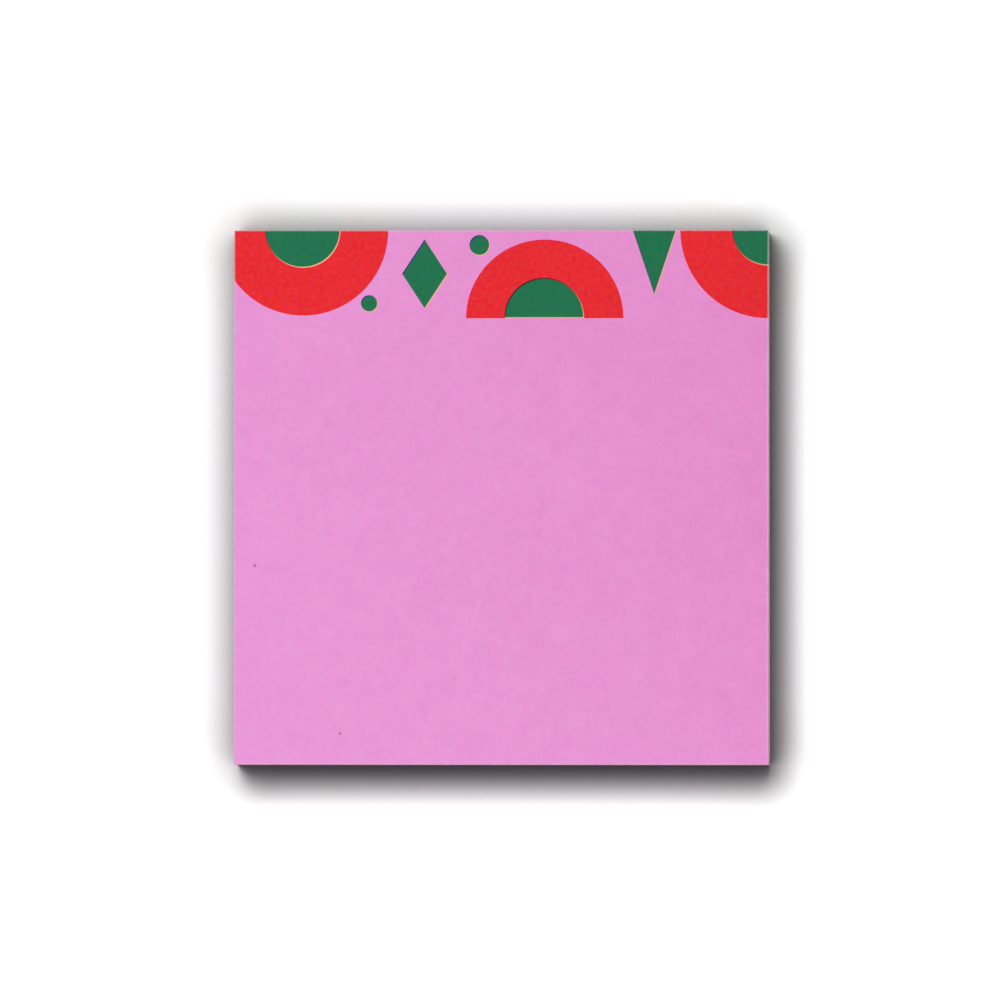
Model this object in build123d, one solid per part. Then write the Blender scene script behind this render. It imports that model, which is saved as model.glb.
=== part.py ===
from build123d import *
import os

# Sticky note pad, lying face up, in millimetres.
# Origin at the centre of the underside, +X to the right across the notes,
# +Y towards the glued edge, +Z up out of the top note.

# Driving dimensions
note_width = 76.0          # X, side to side
note_height = 76.0         # Y, free edge to glued edge
note_count = 100           # notes in a full pad
note_caliper = 0.088       # thickness of one note
coat_thickness = 0.004     # adhesive coat between one note and the next
backing_thickness = 0.30   # liner card under the last note's adhesive

# Worked out from them
note_pitch = note_caliper + coat_thickness
notes_thickness = note_count * note_pitch
notes_bottom = backing_thickness


def cut_block(thickness, bottom):
    """A square-cornered block as the guillotine leaves it, resting at the height bottom."""
    seat = Location((0, 0, bottom))
    corner_free = (Align.CENTER, Align.CENTER, Align.MIN)
    return seat * Box(note_width, note_height, thickness, align=corner_free)


def backing_sheet():
    """The liner card, trimmed together with the notes, so its edges are flush with theirs."""
    return cut_block(backing_thickness, 0)


def note_sheets():
    """All the notes, with their adhesive coats, as one closed block on the liner card."""
    return cut_block(notes_thickness, notes_bottom)


pieces = {
    "backing_sheet": backing_sheet(),
    "note_sheets": note_sheets(),
}

os.makedirs("parts", exist_ok=True)
for name, shape in pieces.items():
    shape.label = name
    export_step(shape, f"parts/{name}.step")
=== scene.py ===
import math
import random

import bmesh
import bpy
from mathutils import Matrix, Vector


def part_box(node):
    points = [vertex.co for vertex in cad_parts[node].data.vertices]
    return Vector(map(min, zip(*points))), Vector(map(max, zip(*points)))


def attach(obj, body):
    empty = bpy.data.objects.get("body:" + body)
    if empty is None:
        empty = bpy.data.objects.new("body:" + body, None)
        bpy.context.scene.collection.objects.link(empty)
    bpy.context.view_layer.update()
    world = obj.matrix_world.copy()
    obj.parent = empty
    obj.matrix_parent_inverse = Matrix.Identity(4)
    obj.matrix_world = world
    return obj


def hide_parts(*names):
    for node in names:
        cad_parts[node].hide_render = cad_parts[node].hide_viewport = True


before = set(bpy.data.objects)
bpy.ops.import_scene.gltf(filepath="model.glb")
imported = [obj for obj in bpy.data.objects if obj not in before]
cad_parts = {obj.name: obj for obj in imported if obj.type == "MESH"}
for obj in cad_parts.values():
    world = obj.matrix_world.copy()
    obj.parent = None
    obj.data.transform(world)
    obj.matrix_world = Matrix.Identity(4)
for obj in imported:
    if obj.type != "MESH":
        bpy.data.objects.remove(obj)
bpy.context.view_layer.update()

mm = 0.001
notesLow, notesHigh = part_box("note_sheets")
noteWidth = notesHigh.x - notesLow.x
noteHeight = notesHigh.y - notesLow.y
print("frame loaded, notes", [round(side / mm, 2) for side in notesHigh - notesLow], "mm")


# Selecting and switching modes

def makeActive(piece):
    if bpy.context.object and bpy.context.object.mode != "OBJECT":
        bpy.ops.object.mode_set(mode="OBJECT")
    bpy.ops.object.select_all(action="DESELECT")
    piece.select_set(True)
    bpy.context.view_layer.objects.active = piece


def selectEdges(piece, wanted):  # in edit mode, edge by edge
    bpy.ops.mesh.select_mode(type="EDGE")
    bpy.ops.mesh.select_all(action="DESELECT")
    editMesh = bmesh.from_edit_mesh(piece.data)
    for edge in editMesh.edges:
        edge.select_set(wanted(edge))
    bmesh.update_edit_mesh(piece.data)


# Shader building blocks

def feed(tree, source, socket):
    if isinstance(source, bpy.types.NodeSocket):
        tree.links.new(source, socket)
    elif socket.type == "RGBA" and len(source) == 3:
        socket.default_value = (*source, 1.0)
    else:
        socket.default_value = source


def calc(tree, operation, first, second=0.0, third=0.0, clamp=False):
    node = tree.nodes.new("ShaderNodeMath")
    node.operation = operation
    node.use_clamp = clamp
    for socket, source in zip(node.inputs, (first, second, third)):
        feed(tree, source, socket)
    return node.outputs[0]


def vectorCalc(tree, operation, first, second=(0.0, 0.0, 0.0), scale=1.0):
    node = tree.nodes.new("ShaderNodeVectorMath")
    node.operation = operation
    feed(tree, first, node.inputs[0])
    feed(tree, second, node.inputs[1])
    feed(tree, scale, node.inputs[3])
    return node.outputs[1 if operation in ("DISTANCE", "DOT_PRODUCT") else 0]


def noise(tree, point, scale, detail=2.0, roughness=0.5):
    node = tree.nodes.new("ShaderNodeTexNoise")
    feed(tree, point, node.inputs["Vector"])
    feed(tree, scale, node.inputs["Scale"])
    feed(tree, detail, node.inputs["Detail"])
    feed(tree, roughness, node.inputs["Roughness"])
    return node.outputs[0]


def vectorNoise(tree, point, scale):
    node = tree.nodes.new("ShaderNodeTexNoise")
    feed(tree, point, node.inputs["Vector"])
    feed(tree, scale, node.inputs["Scale"])
    return node.outputs["Color"]


def blendValues(tree, first, second, share):  # share of the first, and the rest of the second
    return calc(tree, "MULTIPLY_ADD", first, share, calc(tree, "MULTIPLY", second, 1.0 - share))


def remap(tree, source, low, high, lowOut, highOut):
    node = tree.nodes.new("ShaderNodeMapRange")
    for socket, value in zip(node.inputs, (source, low, high, lowOut, highOut)):
        feed(tree, value, socket)
    return node.outputs[0]


def mixColour(tree, kind, factor, first, second):
    node = tree.nodes.new("ShaderNodeMix")
    node.data_type = "RGBA"
    node.blend_type = kind
    feed(tree, factor, node.inputs[0])
    feed(tree, first, node.inputs[6])
    feed(tree, second, node.inputs[7])
    return node.outputs[2]


def greyOf(tree, tone):
    node = tree.nodes.new("ShaderNodeCombineColor")
    for socket in node.inputs:
        feed(tree, tone, socket)
    return node.outputs[0]


def newGroup(name, inputs, outputs):
    tree = bpy.data.node_groups.new(name, "ShaderNodeTree")
    for title, kind in inputs:
        tree.interface.new_socket(title, in_out="INPUT", socket_type="NodeSocket" + kind)
    for title, kind in outputs:
        tree.interface.new_socket(title, in_out="OUTPUT", socket_type="NodeSocket" + kind)
    return tree, tree.nodes.new("NodeGroupInput").outputs, tree.nodes.new("NodeGroupOutput").inputs


def useGroup(tree, group, **sources):
    node = tree.nodes.new("ShaderNodeGroup")
    node.node_tree = group
    for title, source in sources.items():
        feed(tree, source, node.inputs[title])
    return node.outputs


def newMaterial(name, look):
    material = bpy.data.materials.new(name)
    material.use_nodes = True
    material.diffuse_color = (*look["viewport"], 1.0)
    tree = material.node_tree
    surface = tree.nodes["Principled BSDF"]
    surface.inputs["Specular IOR Level"].default_value = look["specular"]
    coordinates = tree.nodes.new("ShaderNodeTexCoord").outputs["Object"]
    point = vectorCalc(tree, "SCALE", coordinates, scale=1 / mm)  # millimetres from the pad's middle
    return material, tree, surface, point


def addBump(tree, surface, height, distance):
    bump = tree.nodes.new("ShaderNodeBump")
    bump.inputs["Strength"].default_value = 1.0
    bump.inputs["Distance"].default_value = distance
    feed(tree, height, bump.inputs["Height"])
    tree.links.new(bump.outputs["Normal"], surface.inputs["Normal"])


# Paper: grain that every sheet, its cut edge and the card share

paper = {
    "blotchScale": 0.9,       # marks in a millimetre, where Fineness is 1
    "grainScale": 2.7,
    "fibreScale": 5.5,
    "fibreStretch": 0.35,     # fibres run along Y
    "formationScale": 0.36,
    "blotchShare": 0.45,      # of the mottle, the rest is grain
    "grainShare": 0.6,        # of the height, the rest is fibre
}


def buildPaperGrain():
    tree, given, made = newGroup(
        "paperGrain", [("Point", "Vector"), ("Fineness", "Float")],
        [("Mottle", "Float"), ("Height", "Float"), ("Formation", "Float")])
    point = vectorCalc(tree, "SCALE", given["Point"], scale=given["Fineness"])
    blotch = noise(tree, point, paper["blotchScale"], 3.0, 0.6)
    grain = noise(tree, point, paper["grainScale"], 2.0, 0.55)
    fibrePoint = vectorCalc(tree, "MULTIPLY", point, (1.0, paper["fibreStretch"], 1.0))
    fibre = noise(tree, fibrePoint, paper["fibreScale"], 1.0, 0.5)
    formation = noise(tree, point, paper["formationScale"], 4.0, 1.0)  # light and dark flocks of every size
    feed(tree, blendValues(tree, blotch, grain, paper["blotchShare"]), made["Mottle"])
    feed(tree, blendValues(tree, grain, fibre, paper["grainShare"]), made["Height"])
    feed(tree, formation, made["Formation"])
    return tree


# The printed band: plain shapes, in millimetres from the left edge and up from the band's lower line

band = {
    "height": 12.5,
    "inkEdge": 0.07,          # how soft the edge of a printed shape is
    "wobble": 0.05,           # how far ink creeps at that edge
    "wobbleScale": 4.0,       # waves of that creep in a millimetre
    "bowl": ((9.8, 12.5), 12.1),        # middle and radius of the half disc that hangs at the left
    "bowlHeart": 5.3,
    "arch": ((44.2, 0.0), 11.2),        # half disc standing on the lower line
    "archHeart": 5.6,
    "fan": ((76.0, 12.5), 12.5),        # quarter disc in the right-hand corner
    "fanHeart": 5.0,
    "lozenge": ((27.2, 1.3), (30.4, 6.2), (27.2, 11.1), (24.0, 6.2)),
    "pennant": ((56.8, 12.5), (59.9, 3.3), (63.0, 12.5)),
    "dots": (((19.3, 2.0), 1.15), ((35.0, 10.3), 1.4)),
}


def onPad(place):  # from the band's own corner to the pad's middle, in millimetres
    return place[0] - noteWidth / mm / 2, place[1] + noteHeight / mm / 2 - band["height"]


def disc(tree, point, middle, radius):
    distance = vectorCalc(tree, "DISTANCE", point, (*onPad(middle), 0.0))
    return calc(tree, "SUBTRACT", radius, distance)


def leftOf(tree, point, start, end):  # positive on the left of the line from start to end
    along = (Vector(end) - Vector(start)).normalized()
    across = Vector((-along.y, along.x))
    reach = vectorCalc(tree, "DOT_PRODUCT", point, (*across, 0.0))
    return calc(tree, "SUBTRACT", reach, across.dot(Vector(onPad(start))))


def allOf(tree, *shapes):
    found = shapes[0]
    for shape in shapes[1:]:
        found = calc(tree, "MINIMUM", found, shape)
    return found


def anyOf(tree, *shapes):
    found = shapes[0]
    for shape in shapes[1:]:
        found = calc(tree, "MAXIMUM", found, shape)
    return found


def facet(tree, point, corners):  # flat-sided shape, its corners given anticlockwise
    sides = zip(corners, corners[1:] + corners[:1])
    return allOf(tree, *(leftOf(tree, point, start, end) for start, end in sides))


def buildBandShapes():
    tree, given, made = newGroup("bandShapes", [("Point", "Vector")], [("Red", "Float"), ("Green", "Float")])
    flat = vectorCalc(tree, "MULTIPLY", given["Point"], (1.0, 1.0, 0.0))
    creep = vectorCalc(tree, "SUBTRACT", vectorNoise(tree, flat, band["wobbleScale"]), (0.5, 0.5, 0.5))
    point = vectorCalc(tree, "ADD", flat, vectorCalc(tree, "SCALE", creep, scale=band["wobble"]))
    point = vectorCalc(tree, "MULTIPLY", point, (1.0, 1.0, 0.0))
    insideBand = leftOf(tree, point, (0.0, 0.0), (1.0, 0.0))
    rounds = ("bowl", "arch", "fan")
    red = anyOf(tree, *(disc(tree, point, *band[name]) for name in rounds))
    hearts = [disc(tree, point, band[name][0], band[name + "Heart"]) for name in rounds]
    dots = [disc(tree, point, *dot) for dot in band["dots"]]
    flats = [facet(tree, point, band[name]) for name in ("lozenge", "pennant")]
    for title, shape in (("Red", red), ("Green", anyOf(tree, *hearts, *dots, *flats))):
        inside = allOf(tree, shape, insideBand)
        mask = calc(tree, "MULTIPLY_ADD", inside, 1 / band["inkEdge"], 0.5, clamp=True)
        feed(tree, mask, made[title])
    return tree


# Ink: three plates printed one over the other, a little out of line with each other

ink = {
    "paper": (0.912, 0.90, 0.904),
    "magenta": (0.86, 0.012, 0.592),    # what each solid ink lets through
    "yellow": (0.98, 0.85, 0.042),
    "cyan": (0.006, 0.195, 0.62),
    "pinkMagenta": 0.662,               # tint of the pink ground
    "pinkCyan": 0.063,
    "greenYellow": 0.917,
    "gapInk": (0.42, 0.66),             # magenta and yellow left where the cyan falls short of a green shape
    "overprintInk": (0.25, 0.50),       # and added where it runs over the shape's other side
    "cyanShift": (-0.105, 0.135, 0.0),  # millimetres out of line
    "yellowShift": (0.015, -0.015, 0.0),
    "mottleDepth": 0.15,
    "cloudDepth": 0.08,                 # soft clouds a few millimetres across
    "cloudScale": 0.24,
    "cyanPatches": (1.6, 0.2),          # how patchy the cyan of the ground is: swing and least
    "cyanPatchScale": 0.7,
    "solidDepth": (0.035, 0.03, 0.016),  # unevenness of the solid inks: magenta, yellow, cyan
    "solidScale": (1.7, 0.8, 1.4),
    # The drift makes the print heavier towards the upper right, and its mask also paints shade there
    "driftDepth": 0.045,                # slow change of density over the sheet
    "driftAcross": (0.62, 0.38),        # its rise from left to right and from bottom to top
    "driftWander": (0.42, 0.58),        # its level at the middle, which wanders
    "driftWanderScale": 0.045,
    "driftCurve": 1.6,
    "paintedShadeTone": (0.93, 0.89, 0.875),   # painted shade, darkest towards the upper right, where the print is also heaviest
}


def buildPrintedInk(bandShapes):
    tree, given, made = newGroup(
        "printedInk", [("Point", "Vector"), ("Mottle", "Float")], [("Color", "Color"), ("Cover", "Float")])
    point = vectorCalc(tree, "MULTIPLY", given["Point"], (1.0, 1.0, 0.0))

    def plate(shift):  # a shape's plate moved by shift is the shape read shift the other way
        return useGroup(tree, bandShapes, Point=vectorCalc(tree, "SUBTRACT", point, shift))

    magentaPlate, yellowPlate, cyanPlate = (
        plate(shift) for shift in ((0.0, 0.0, 0.0), ink["yellowShift"], ink["cyanShift"]))
    acrossX, acrossY = ink["driftAcross"]
    slope = (acrossX * mm / noteWidth, acrossY * mm / noteHeight, 0.0)
    drift = vectorCalc(tree, "DOT_PRODUCT", point, slope)
    wander = remap(tree, noise(tree, point, ink["driftWanderScale"], 1.0), 0.3, 0.7, *ink["driftWander"])
    driftAndShade = calc(tree, "POWER", calc(tree, "ADD", drift, wander, clamp=True), ink["driftCurve"])
    cloud = calc(tree, "SUBTRACT", noise(tree, point, ink["cloudScale"], 2.0, 0.55), 0.5)
    speckle = calc(tree, "SUBTRACT", given["Mottle"], 0.5)
    density = calc(tree, "MULTIPLY_ADD", driftAndShade, ink["driftDepth"], 1.0)
    density = calc(tree, "MULTIPLY_ADD", speckle, ink["mottleDepth"], density)
    density = calc(tree, "MULTIPLY_ADD", cloud, ink["cloudDepth"], density)
    cyanDensity = calc(tree, "MULTIPLY_ADD", noise(tree, point, ink["cyanPatchScale"], 3.0, 0.6),
                       *ink["cyanPatches"])

    def solid(scale, depth):  # full ink, a little thin in places
        return remap(tree, noise(tree, point, scale, 4.0, 0.6), 0.35, 0.72, 1.0, 1.0 - depth)

    solidMagenta, solidYellow, solidCyan = (
        solid(scale, depth) for scale, depth in zip(ink["solidScale"], ink["solidDepth"]))
    red, green = magentaPlate["Red"], magentaPlate["Green"]
    gap = calc(tree, "SUBTRACT", green, cyanPlate["Green"], clamp=True)
    overprint = calc(tree, "SUBTRACT", cyanPlate["Green"], green, clamp=True)
    pinkTint = calc(tree, "MULTIPLY", density, ink["pinkMagenta"])
    redCover = calc(tree, "MULTIPLY", red, calc(tree, "SUBTRACT", solidMagenta, pinkTint))
    magentaCover = calc(tree, "MULTIPLY", calc(tree, "ADD", pinkTint, redCover),
                        calc(tree, "SUBTRACT", 1.0, green))
    magentaCover = calc(tree, "MULTIPLY_ADD", gap, ink["gapInk"][0], magentaCover)
    magentaCover = calc(tree, "MULTIPLY_ADD", overprint, ink["overprintInk"][0], magentaCover, clamp=True)
    yellowRed = calc(tree, "MULTIPLY", calc(tree, "MULTIPLY", yellowPlate["Red"], solidYellow),
                     calc(tree, "SUBTRACT", 1.0, green))
    yellowCover = calc(tree, "MULTIPLY_ADD", green, ink["greenYellow"], yellowRed)
    yellowCover = calc(tree, "MULTIPLY_ADD", gap, ink["gapInk"][1] - ink["greenYellow"], yellowCover)
    yellowCover = calc(tree, "MULTIPLY_ADD", overprint, ink["overprintInk"][1], yellowCover, clamp=True)
    ground = calc(tree, "MULTIPLY", calc(tree, "MULTIPLY", cyanDensity, ink["pinkCyan"]),
                  calc(tree, "SUBTRACT", 1.0, red))
    cyanGreen = calc(tree, "MULTIPLY", cyanPlate["Green"], solidCyan)
    cyanCover = calc(tree, "MAXIMUM", ground, cyanGreen, clamp=True)

    # painted shade: the sheet darkens towards the upper right
    colour = mixColour(tree, "MIX", driftAndShade, (1.0, 1.0, 1.0), ink["paintedShadeTone"])
    colour = mixColour(tree, "MULTIPLY", 1.0, colour, ink["paper"])
    for cover, name in ((magentaCover, "magenta"), (yellowCover, "yellow"), (cyanCover, "cyan")):
        film = mixColour(tree, "MIX", cover, (1.0, 1.0, 1.0), ink[name])
        colour = mixColour(tree, "MULTIPLY", 1.0, colour, film)
    feed(tree, colour, made["Color"])
    feed(tree, calc(tree, "MAXIMUM", magentaCover, cyanCover), made["Cover"])
    return tree


printedLook = {
    "viewport": (0.80, 0.29, 0.64),
    "specular": 0.12,
    "roughness": (0.74, 0.90),
    "grainHeight": 0.012 * mm,
    "specks": ((-35.05, -9.7, 0.20), (-22.9, -33.6, 0.17)),   # place and radius, millimetres
    "speckTone": (0.50, 0.42, 0.46),
    "formation": 0.205,           # how far the paper's own light and dark shows
    "rimWidth": 0.17,             # width of a paler, patchy band along the cut edges of the face, millimetres
    "rimShare": 0.38,
    "rimPatchScale": 2.1,
    "rimTone": (0.93, 0.87, 0.89),
}


def cutRim(tree, point, width):  # 1 at the cut edge, none from width inwards
    parts = tree.nodes.new("ShaderNodeSeparateXYZ")
    feed(tree, vectorCalc(tree, "ABSOLUTE", point), parts.inputs[0])
    gaps = [calc(tree, "SUBTRACT", side / mm / 2, parts.outputs[axis])
            for axis, side in enumerate((noteWidth, noteHeight))]
    return remap(tree, calc(tree, "MINIMUM", *gaps), 0.0, width, 1.0, 0.0)


def buildPrintedFace(paperGrain, printedInk):
    material, tree, surface, point = newMaterial("printedFace", printedLook)
    grain = useGroup(tree, paperGrain, Point=point, Fineness=1.0)
    printed = useGroup(tree, printedInk, Point=point, Mottle=grain["Mottle"])
    colour = printed["Color"]
    flat = vectorCalc(tree, "MULTIPLY", point, (1.0, 1.0, 0.0))
    for x, y, radius in printedLook["specks"]:
        distance = vectorCalc(tree, "DISTANCE", flat, (x, y, 0.0))
        speck = remap(tree, distance, radius * 0.5, radius * 1.5, 1.0, 0.0)
        colour = mixColour(tree, "MULTIPLY", speck, colour, printedLook["speckTone"])
    # a paler, patchy band along the cut edges
    patchy = remap(tree, noise(tree, flat, printedLook["rimPatchScale"], 3.0, 0.65), 0.35, 0.65, 0.35, 1.0)
    rim = calc(tree, "MULTIPLY", cutRim(tree, point, printedLook["rimWidth"]), patchy)
    colour = mixColour(tree, "MIX", calc(tree, "MULTIPLY", rim, printedLook["rimShare"]),
                       colour, printedLook["rimTone"])
    tone = calc(tree, "MULTIPLY_ADD", grain["Formation"], printedLook["formation"],
                1.0 - printedLook["formation"] / 2)
    colour = mixColour(tree, "MULTIPLY", 1.0, colour, greyOf(tree, tone))
    feed(tree, colour, surface.inputs["Base Color"])
    low, high = printedLook["roughness"]
    feed(tree, remap(tree, printed["Cover"], 0.0, 1.0, high, low), surface.inputs["Roughness"])
    addBump(tree, surface, grain["Height"], printedLook["grainHeight"])
    return material


backLook = {
    "viewport": (0.9, 0.89, 0.87),
    "specular": 0.3,
    "paper": (0.90, 0.89, 0.865),
    "glueTone": (0.80, 0.80, 0.76),
    "glueWidth": 13.0,            # millimetres down from the glued edge
    "glueRoughness": 0.42,
    "gluePatchScale": 0.8,
    "roughness": 0.92,
    "grainHeight": 0.012 * mm,
}


def buildNoteBack(paperGrain):
    material, tree, surface, point = newMaterial("noteBack", backLook)
    grain = useGroup(tree, paperGrain, Point=point, Fineness=1.0)
    tone = remap(tree, grain["Mottle"], 0.3, 0.7, 0.94, 1.0)
    bare = mixColour(tree, "MULTIPLY", 1.0, backLook["paper"], greyOf(tree, tone))
    glueLine = noteHeight / mm / 2 - backLook["glueWidth"]
    upSheet = vectorCalc(tree, "DOT_PRODUCT", point, (0.0, 1.0, 0.0))
    patchy = remap(tree, noise(tree, point, backLook["gluePatchScale"], 3.0), 0.35, 0.6, 0.75, 1.0)
    glue = calc(tree, "MULTIPLY", calc(tree, "SUBTRACT", upSheet, glueLine, clamp=True), patchy)
    feed(tree, mixColour(tree, "MIX", glue, bare, backLook["glueTone"]), surface.inputs["Base Color"])
    rough = remap(tree, glue, 0.0, 1.0, backLook["roughness"], backLook["glueRoughness"])
    feed(tree, rough, surface.inputs["Roughness"])
    addBump(tree, surface, grain["Height"], backLook["grainHeight"])
    return material


edgeLook = {
    "viewport": (0.88, 0.70, 0.80),
    "specular": 0.2,
    "core": (0.95, 0.90, 0.915),  # white stock, with a breath of the ink from both its faces
    "bleed": 0.34,                # how much of the print shows on the cut
    "toneDepth": 0.12,            # sheet to sheet
    "streakDepth": 0.07,          # marks of the knife, up and down
    "streakScale": 2.6,
    "streakStretch": 0.06,        # how little a mark changes from sheet to sheet
    "toneRun": 0.35,              # how far a sheet's tone wanders along it
    "toneRunStretch": (0.05, 0.05, 3.0),
    "fineness": 1.8,
    "roughness": 0.94,
    "fuzzHeight": 0.03 * mm,
}


def buildCutEdge(paperGrain, printedInk):
    material, tree, surface, point = newMaterial("cutEdge", edgeLook)
    grain = useGroup(tree, paperGrain, Point=point, Fineness=edgeLook["fineness"])
    printed = useGroup(tree, printedInk, Point=point, Mottle=0.5)
    tone = tree.nodes.new("ShaderNodeAttribute")
    tone.attribute_name = "sheetTone"
    along = vectorCalc(tree, "MULTIPLY", point, edgeLook["toneRunStretch"])
    toneRun = edgeLook["toneRun"]
    run = remap(tree, noise(tree, along, 1.0, 3.0, 0.6), 0.3, 0.7, -toneRun, toneRun)
    sheetTone = calc(tree, "ADD", tone.outputs["Fac"], run, clamp=True)
    bleed = calc(tree, "MULTIPLY", remap(tree, grain["Mottle"], 0.3, 0.7, 0.8, 1.2), edgeLook["bleed"])
    bleed = calc(tree, "MULTIPLY", bleed, remap(tree, sheetTone, 0.0, 1.0, 1.35, 0.75))
    colour = mixColour(tree, "MIX", bleed, edgeLook["core"], printed["Color"])
    upright = vectorCalc(tree, "MULTIPLY", point, (1.0, 1.0, edgeLook["streakStretch"]))
    streak = noise(tree, upright, edgeLook["streakScale"], 3.0, 0.65)
    shade = calc(tree, "MULTIPLY_ADD", sheetTone, edgeLook["toneDepth"], 1.0 - edgeLook["toneDepth"])
    shade = calc(tree, "SUBTRACT", shade, remap(tree, streak, 0.35, 0.75, 0.0, edgeLook["streakDepth"]))
    colour = mixColour(tree, "MULTIPLY", 1.0, colour, greyOf(tree, shade))
    feed(tree, colour, surface.inputs["Base Color"])
    surface.inputs["Roughness"].default_value = edgeLook["roughness"]
    addBump(tree, surface, blendValues(tree, streak, grain["Height"], 0.6), edgeLook["fuzzHeight"])
    return material


cardLook = {
    "viewport": (0.74, 0.72, 0.67),
    "specular": 0.25,
    "light": (0.85, 0.815, 0.770),
    "dark": (0.70, 0.665, 0.620),
    "fleck": (0.36, 0.33, 0.29),
    "fleckShare": 0.5,
    "fleckScale": 1.7,
    "fleckStretch": (0.4, 2.2, 1.0),
    "fineness": 0.7,
    "roughness": (0.86, 0.95),
    "grainHeight": 0.025 * mm,
}


def buildLinerCard(paperGrain):
    material, tree, surface, point = newMaterial("linerCard", cardLook)
    grain = useGroup(tree, paperGrain, Point=point, Fineness=cardLook["fineness"])
    colour = mixColour(tree, "MIX", remap(tree, grain["Mottle"], 0.35, 0.68, 0.0, 1.0),
                       cardLook["dark"], cardLook["light"])
    strand = vectorCalc(tree, "MULTIPLY", point, cardLook["fleckStretch"])
    strands = noise(tree, strand, cardLook["fleckScale"], 2.0, 0.6)
    fleck = remap(tree, strands, 0.68, 0.75, 0.0, cardLook["fleckShare"])
    colour = mixColour(tree, "MIX", fleck, colour, cardLook["fleck"])
    feed(tree, colour, surface.inputs["Base Color"])
    low, high = cardLook["roughness"]
    feed(tree, remap(tree, grain["Mottle"], 0.3, 0.7, low, high), surface.inputs["Roughness"])
    addBump(tree, surface, grain["Height"], cardLook["grainHeight"])
    return material


paperGrain = buildPaperGrain()
bandShapes = buildBandShapes()
printedInk = buildPrintedInk(bandShapes)
printedFace = buildPrintedFace(paperGrain, printedInk)
noteBack = buildNoteBack(paperGrain)
cutEdge = buildCutEdge(paperGrain, printedInk)
linerCard = buildLinerCard(paperGrain)
print("materials built")


# The notes: one sheet is modelled, and the pad is a hundred copies of it

notes = {
    "count": 100,
    "caliper": 0.088 * mm,
    "cuts": 7,                    # extra edge cuts along each side, so that a sheet can bend
    "glueReach": 13 * mm,         # glued strip, down from the top edge
    "looseSheet": 0.004 * mm,     # usual air under a sheet at the free edge
    "looseSpread": 1.25,          # how widely that varies, as a power of e
    "sway": 0.55,                 # how unevenly a gap opens from left to right
    "swayWaves": 0.8,
    "curl": (0.012, 0.015, 0.020, 0.035, 0.060, 0.110),   # last gaps at the free edge, in millimetres
    "curlReach": 34 * mm,
    "curlCorner": 0.45,           # how much of the curl is only at the right-hand corner
    "lean": (0.10 * mm, -0.05 * mm),  # how far the lowest note has slid from under the top one
    "drift": 0.012 * mm,          # a slide that one note passes on to the next
    "driftStep": 0.35,
    "driftMemory": 0.9,
    "jitter": 0.007 * mm,         # a slide of its own
    "trueParts": 8,               # one part in this many, at the top of the pad, lies truer
    "gluedSlide": 0.3,            # share of a sideways slide that the glued edge shows
    "bunch": (3, 9),              # notes that share a tone
    "bunchShare": 0.55,
    "seed": 41,
}


def modelSheet():
    bpy.ops.object.select_all(action="DESELECT")
    middle = (notesLow + notesHigh) / 2
    middle.z = notesLow.z + notes["caliper"] / 2
    bpy.ops.mesh.primitive_cube_add(size=1, location=middle, scale=(noteWidth, noteHeight, notes["caliper"]))
    sheet = bpy.context.object
    sheet.name = "one_note"
    bpy.ops.object.transform_apply(location=True, rotation=True, scale=True)
    bpy.ops.object.mode_set(mode="EDIT")
    selectEdges(sheet, lambda edge: abs(edge.verts[0].co.z - edge.verts[1].co.z) < 0.01 * mm)
    bpy.ops.mesh.subdivide(number_cuts=notes["cuts"])
    bpy.ops.object.mode_set(mode="OBJECT")
    for material in (printedFace, cutEdge, noteBack):
        sheet.data.materials.append(material)
    for face in sheet.data.polygons:
        face.material_index = 0 if face.normal.z > 0.5 else 2 if face.normal.z < -0.5 else 1
    sheet.data.uv_layers.remove(sheet.data.uv_layers[0])
    sheet.data.uv_layers.new(name="OFBake")
    return sheet


def smoothStep(value):
    value = min(max(value, 0.0), 1.0)
    return value * value * (3 - 2 * value)


def looseness(x, y):  # none where the glue holds, all of it at the free edge
    start = notesHigh.y - notes["glueReach"]
    return smoothStep((start - y) / (start - notesLow.y))


def curlShape(x, y):  # rises towards the free edge, and more towards its right-hand corner
    share = min(max((notesLow.y + notes["curlReach"] - y) / notes["curlReach"], 0.0), 1.0)
    across = (x - notesLow.x) / noteWidth
    return share * share * (1 - notes["curlCorner"] + notes["curlCorner"] * across * across)


def drawGaps(dice):  # the air under each note at the free edge, and the phase of its sway
    count = notes["count"]
    gaps = [notes["looseSheet"] * math.exp(dice.gauss(0, notes["looseSpread"])) for note in range(count)]
    gaps[0] = 0.0  # the lowest note lies on the card
    air = notesHigh.z - notesLow.z - count * notes["caliper"]
    share = air / sum(gaps)
    return [(gap * share, dice.uniform(0, 1)) for gap in gaps]


def drawSlides(dice):  # how far each note has slid, from the lowest to the top one
    slides, driftX, driftY = [], 0.0, 0.0
    for note in range(notes["count"]):
        depth = 1 - note / (notes["count"] - 1)
        driftX = notes["driftMemory"] * driftX + dice.gauss(0, notes["driftStep"]) * notes["drift"]
        driftY = notes["driftMemory"] * driftY + dice.gauss(0, notes["driftStep"]) * notes["drift"]
        hold = smoothStep(depth * notes["trueParts"])
        slides.append((notes["lean"][0] * depth + (driftX + dice.gauss(0, 1) * notes["jitter"]) * hold,
                       notes["lean"][1] * depth + (driftY + dice.gauss(0, 1) * notes["jitter"]) * hold))
    return slides


# Maps: where the faces of a note lie, as shares of the map's width and height

stackMap = {
    "patch": 0.04,                # printed face and back, small, because the next note hides them
    "patchLeft": (0.02, 0.12),
    "patchLow": 0.948,
    "stripLeft": 0.004,           # each side of the pad is a strip, note above note
    "stripLow": 0.006,
    "stripWidth": 0.992,
    "stripHeight": 0.225,
    "stripStep": 0.235,
}
topMap = {
    "faceCorner": 0.003,          # the printed face has nearly all of the map
    "faceSize": 0.945,
    "backCorner": 0.956,
    "backSize": 0.04,
    "stripStep": 0.011,
    "stripThick": 0.006,
}


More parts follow.
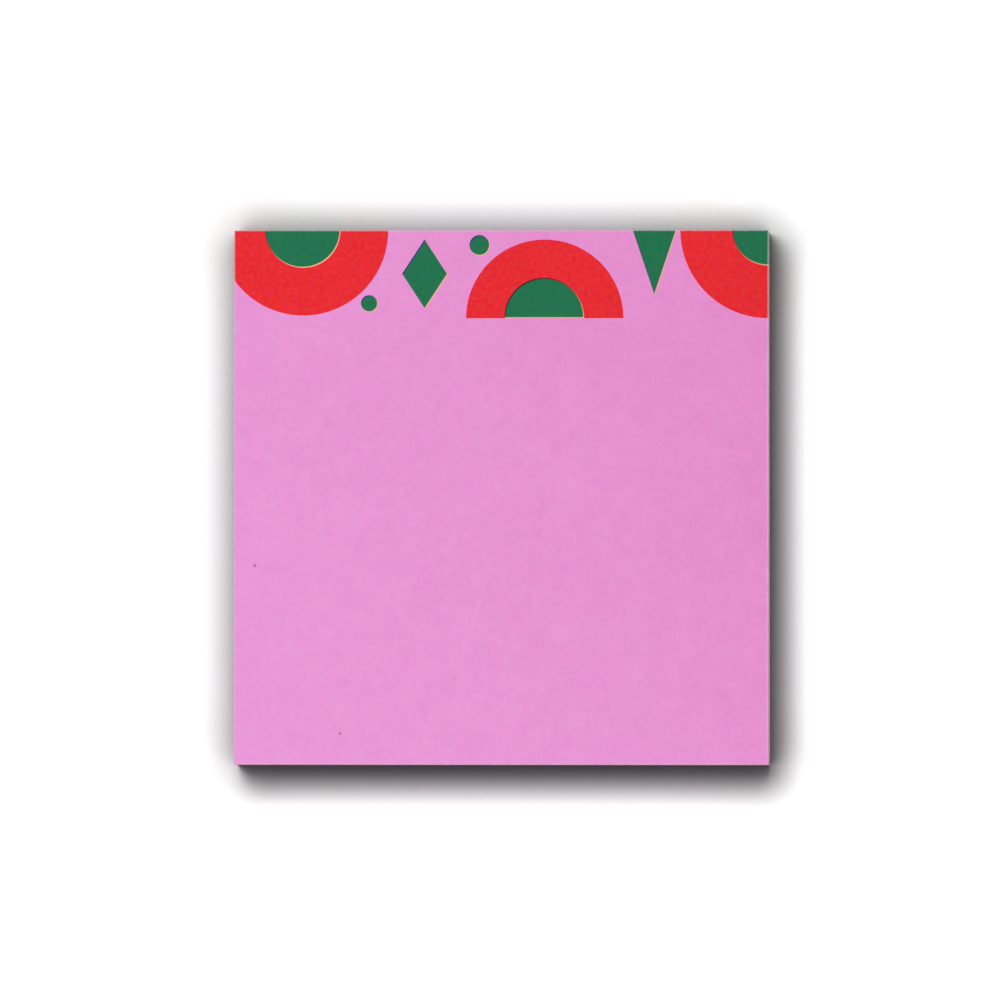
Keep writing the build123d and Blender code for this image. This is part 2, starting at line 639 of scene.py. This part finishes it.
def sideOf(normal, shareX, shareY):  # front, right, back or left, and how far along it
    if abs(normal.y) > 0.5:
        return (0 if normal.y < 0 else 2), shareX
    return (1 if normal.x > 0 else 3), shareY


def stackPlace(face, note, shareX, shareY, upper):
    if abs(face.normal.z) > 0.5:
        left = stackMap["patchLeft"][0 if face.normal.z > 0 else 1]
        return left + stackMap["patch"] * shareX, stackMap["patchLow"] + stackMap["patch"] * shareY
    side, along = sideOf(face.normal, shareX, shareY)
    rise = stackMap["stripHeight"] * (note + upper) / notes["count"]
    return (stackMap["stripLeft"] + stackMap["stripWidth"] * along,
            stackMap["stripLow"] + stackMap["stripStep"] * side + rise)


def topPlace(face, note, shareX, shareY, upper):
    if abs(face.normal.z) > 0.5:
        name = "face" if face.normal.z > 0 else "back"
        corner, size = topMap[name + "Corner"], topMap[name + "Size"]
        return corner + size * shareX, corner + size * shareY
    side, along = sideOf(face.normal, shareX, shareY)
    return (topMap["backCorner"] + topMap["stripStep"] * side + topMap["stripThick"] * upper,
            topMap["faceCorner"] + topMap["faceSize"] * along)


def layMap(mesh, note, low, high, placeOf):
    for face in mesh.polygons:
        for loop in face.loop_indices:
            vertex = mesh.loops[loop].vertex_index
            shareX = (low[vertex].x - notesLow.x) / noteWidth
            shareY = (low[vertex].y - notesLow.y) / noteHeight
            place = placeOf(face, note, shareX, shareY, vertex in high)
            mesh.uv_layers["OFBake"].uv[loop].vector = place


def buildNotes():
    dice = random.Random(notes["seed"])
    sheet = modelSheet()
    low = [vertex.co.copy() for vertex in sheet.data.vertices]
    middleZ = notesLow.z + notes["caliper"] / 2
    high = {index for index, place in enumerate(low) if place.z > middleZ}
    gaps, slides = drawGaps(dice), drawSlides(dice)
    count = notes["count"]
    coat = (notesHigh.z - notesLow.z) / count - notes["caliper"]
    lift = [0.0] * len(low)
    copies = []
    bunchTone, bunchEnd = 0.5, 0
    for note in range(count):
        gap, phase = gaps[note]
        curlPlace = note - (count - len(notes["curl"]))
        curl = notes["curl"][curlPlace] * mm if curlPlace >= 0 else 0.0
        if note >= bunchEnd:
            bunchTone, bunchEnd = dice.random(), note + dice.randint(*notes["bunch"])
        piece = sheet.copy()
        piece.data = sheet.data.copy()
        bpy.context.scene.collection.objects.link(piece)
        for index, place in enumerate(low):
            loose = looseness(place.x, place.y)
            wave = math.sin(2 * math.pi * (place.x / noteWidth * notes["swayWaves"] + phase))
            held = 0.0 if note == 0 else coat * (1 - loose)
            air = gap * loose * (1 + notes["sway"] * wave)
            lift[index] += held + air + curl * curlShape(place.x, place.y)
            slideX, slideY = slides[note]
            reach = notes["gluedSlide"] + (1 - notes["gluedSlide"]) * loose
            piece.data.vertices[index].co = (
                place.x + slideX * reach, place.y + slideY, place.z + note * notes["caliper"] + lift[index])
        layMap(piece.data, note, low, high, topPlace if note == count - 1 else stackPlace)
        tone = piece.data.attributes.new("sheetTone", "FLOAT", "FACE")
        shade = notes["bunchShare"] * bunchTone + (1 - notes["bunchShare"]) * dice.random()
        tone.data.foreach_set("value", [shade] * len(piece.data.polygons))
        copies.append(piece)
    bpy.data.objects.remove(sheet)
    return copies


def joinPieces(pieces, name):
    makeActive(pieces[0])
    for piece in pieces[1:]:
        piece.select_set(True)
    bpy.ops.object.join()
    whole = bpy.context.object
    whole.name = name
    whole.data.name = name
    return whole


def finishNotes(piece):
    makeActive(piece)
    bpy.ops.object.shade_smooth_by_angle(angle=math.radians(30))
    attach(piece, "root")
    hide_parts("note_sheets")


copies = buildNotes()
topNote = joinPieces(copies[-1:], "top_note")
noteStack = joinPieces(copies[:-1], "note_stack")
for piece in (topNote, noteStack):
    finishNotes(piece)
print("notes stacked:", len(noteStack.data.polygons), "faces under the top note")


# The liner card keeps its CAD solid

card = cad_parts["backing_sheet"]
card.data.materials.clear()
card.data.materials.append(linerCard)
print("liner card finished")


# Stage, light and camera

stage = {
    "floorSize": 3.0,
    "floorGap": 0.02 * mm,         # keeps the floor clear of the card's underside
    "white": 0.998,                # the floor as the camera sees it
    "bounce": 0.88,                # and as it lights the pad
    "shadeReach": 6.3 * mm,
    "shadePower": 2.2,
    "shadeLean": (-0.20, 0.13, 1.0),   # the open side that fills the shade, back and to the left
}


def buildFloor():
    bpy.ops.object.select_all(action="DESELECT")
    bpy.ops.mesh.primitive_plane_add(size=stage["floorSize"], location=(0, 0, -stage["floorGap"]))
    floor = bpy.context.object
    floor.name = "floor"
    bpy.ops.object.transform_apply(location=True, rotation=True, scale=True)
    material = bpy.data.materials.new("paleFloor")
    material.use_nodes = True
    tree = material.node_tree
    surface = tree.nodes["Principled BSDF"]
    surface.inputs["Roughness"].default_value = 1.0
    surface.inputs["Specular IOR Level"].default_value = 0.0
    corner = tree.nodes.new("ShaderNodeAmbientOcclusion")
    corner.samples = 16
    corner.inputs["Distance"].default_value = stage["shadeReach"]
    tree.links.new(vectorCalc(tree, "NORMALIZE", stage["shadeLean"]), corner.inputs["Normal"])
    shade = calc(tree, "POWER", corner.outputs["AO"], stage["shadePower"])
    rays = tree.nodes.new("ShaderNodeLightPath").outputs
    seen = calc(tree, "MAXIMUM", rays["Is Camera Ray"], rays["Is Glossy Ray"])
    seen = calc(tree, "MAXIMUM", seen, rays["Is Transmission Ray"])
    white = greyOf(tree, calc(tree, "MULTIPLY", shade, stage["white"]))
    dim = (stage["bounce"],) * 3
    feed(tree, mixColour(tree, "MIX", seen, dim, white), surface.inputs["Base Color"])
    floor.data.materials.append(material)


light = {
    "keyPower": 3.0,
    "keySpread": 31.0,             # degrees across
    "keyTilt": (-9.2, 19.8),       # degrees from overhead, to the left and to the back
    "sidePower": 1.2,
    "sideSpread": 20.0,
    "sideFrom": (0.80, -0.58, 0.15),
    "world": 0.105,
}


def addSun(name, power, spread, towards):
    bpy.ops.object.select_all(action="DESELECT")
    bpy.ops.object.light_add(type="SUN", location=towards * 0.5)
    lamp = bpy.context.object
    lamp.name = name
    lamp.data.energy = power
    lamp.data.angle = math.radians(spread)
    lamp.rotation_euler = towards.to_track_quat("Z", "Y").to_euler()


def buildLight():
    tiltX, tiltY = (math.tan(math.radians(tilt)) for tilt in light["keyTilt"])
    addSun("keyLight", light["keyPower"], light["keySpread"], Vector((tiltX, tiltY, 1.0)).normalized())
    addSun("sideLight", light["sidePower"], light["sideSpread"], Vector(light["sideFrom"]).normalized())
    world = bpy.data.worlds.new("paleStudio")
    world.use_nodes = True
    bpy.context.scene.world = world
    tree = world.node_tree
    rays = tree.nodes.new("ShaderNodeLightPath").outputs
    seen = calc(tree, "MAXIMUM", rays["Is Camera Ray"], rays["Is Glossy Ray"])
    seen = calc(tree, "MAXIMUM", seen, rays["Is Transmission Ray"])
    background = tree.nodes["Background"]
    background.inputs["Color"].default_value = (1.0, 1.0, 1.0, 1.0)
    feed(tree, remap(tree, seen, 0.0, 1.0, light["world"], 1.0), background.inputs["Strength"])


view = {
    "lens": 500.0,
    "across": 142.25 * mm,         # width of the view at the top note
    "middle": (-0.14 * mm, -0.37 * mm),
    "towards": (2.0, -1.2),        # degrees from straight overhead, to the right and to the front
}


def buildCamera():
    data = bpy.data.cameras.new("camera")
    camera = bpy.data.objects.new("camera", data)
    bpy.context.scene.collection.objects.link(camera)
    data.lens = view["lens"]
    data.clip_start, data.clip_end = 0.05, 20.0
    distance = view["across"] * view["lens"] / data.sensor_width
    target = Vector((*view["middle"], notesHigh.z))
    back = Vector((*(math.tan(math.radians(tilt)) for tilt in view["towards"]), 1.0)).normalized()
    right = (Vector((1, 0, 0)) - back * back.x).normalized()
    up = back.cross(right)
    turn = Matrix((right, up, back)).transposed().to_4x4()
    camera.matrix_world = Matrix.Translation(target + back * distance) @ turn
    bpy.context.scene.camera = camera


buildFloor()
buildLight()
buildCamera()
bpy.context.scene.view_settings.view_transform = "Standard"
print("stage, light and camera set")
